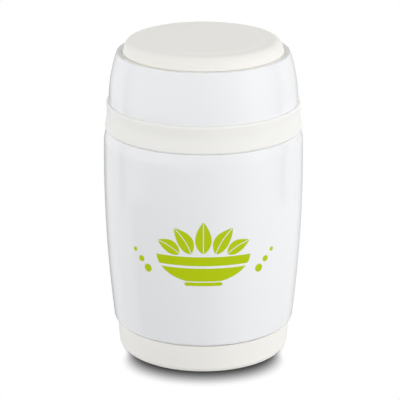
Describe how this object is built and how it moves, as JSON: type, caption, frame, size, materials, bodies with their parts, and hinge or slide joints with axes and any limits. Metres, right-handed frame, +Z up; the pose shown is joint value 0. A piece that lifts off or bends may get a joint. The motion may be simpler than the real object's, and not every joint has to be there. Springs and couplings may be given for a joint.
{
  "type": "insulated food jar",
  "caption": "Double-walled food jar with a screwed venting stopper, a screwed lid that turns over into a bowl, and a folding spoon under a lift-off cap.",
  "frame": {"origin": "middle of the foot pad's underside, on the surface that the jar stands on", "axes": "+Z up along the jar's axis; the folding spoon lies along X, its hinge at -X"},
  "size_m": [0.105, 0.105, 0.1693],
  "materials": {
    "cream_plastic": "fine satin grain",
    "white_paint": "gloss white lacquer",
    "steel": "brushed by turning",
    "foot_rubber": "matt",
    "silicone": "soft milky silicone",
    "grey_plastic": "satin",
    "lime_plastic": "gloss",
    "natural_plastic": "gloss",
    "foam": "open foam",
    "spring_wire": "bright wire",
    "copper_foil": "thin copper foil",
    "getter_metal": "sintered",
    "glass_bead": "fused glass"
  },
  "bodies": {
    "jar": {"base_cup": "cream_plastic", "foot_pad": "foot_rubber", "outer_shell": "white_paint", "outer_bottom": "steel", "port_bead": "glass_bead", "getter": "getter_metal", "heat_foil": "copper_foil", "liner": "steel"},
    "stopper_ring": {"stopper_seal": "silicone"},
    "stopper": {"stopper_body": "grey_plastic", "stopper_foam": "foam", "stopper_cover": "grey_plastic", "valve_spring": "spring_wire"},
    "valve": {"valve_button": "lime_plastic", "valve_stem": "natural_plastic", "valve_washer": "silicone"},
    "lid_ring": {"lid_gasket": "silicone"},
    "lid": {"lid_bowl": "cream_plastic", "spoon_tray": "cream_plastic", "lid_sleeve": "white_paint"},
    "spoon": {"spoon_handle": "cream_plastic", "spoon_pin": "steel"},
    "spoon_head": {"spoon_bowl": "cream_plastic"},
    "cap": {"cap": "cream_plastic", "cap_seal": "silicone"}
  },
  "joints": [
    {"name": "stopper_rise", "type": "slide", "parent": "jar", "child": "stopper_ring", "axis": [0, 0, 1], "range_m": [0, 0.0361]},
    {"name": "stopper_turn", "type": "hinge", "parent": "stopper_ring", "child": "stopper", "pos_m": [0, 0, 0.1356], "axis": [0, 0, 1], "range_deg": [0, 1080]},
    {"name": "valve_press", "type": "slide", "parent": "stopper", "child": "valve", "axis": [0, 0, -1], "range_m": [0, 0.003], "stiffness_N_per_m": 120, "springref_m": -0.002, "deforming": ["valve_spring"]},
    {"name": "lid_rise", "type": "slide", "parent": "stopper", "child": "lid_ring", "axis": [0, 0, 1], "range_m": [0, 0.0361]},
    {"name": "lid_turn", "type": "hinge", "parent": "lid_ring", "child": "lid", "pos_m": [0, 0, 0.1223], "axis": [0, 0, 1], "range_deg": [0, 1080]},
    {"name": "spoon_lift", "type": "slide", "parent": "lid", "child": "spoon", "axis": [0, 0, 1], "range_m": [0, 0.21]},
    {"name": "spoon_fold", "type": "hinge", "parent": "spoon", "child": "spoon_head", "pos_m": [-0.03, 0, 0.1541], "axis": [0, 1, 0], "range_deg": [0, 180]},
    {"name": "cap_lift", "type": "slide", "parent": "spoon", "child": "cap", "axis": [0, 0, 1], "range_m": [0, 0.06]}
  ],
  "couplings": [
    {"joint": "stopper_rise", "follows": "stopper_turn", "m_per_rad": 0.0019099},
    {"joint": "lid_rise", "follows": "lid_turn", "m_per_rad": 0.0019099},
    {"joint": "spoon_fold", "follows": "spoon_lift", "rad_per_m": 14.95}
  ]
}
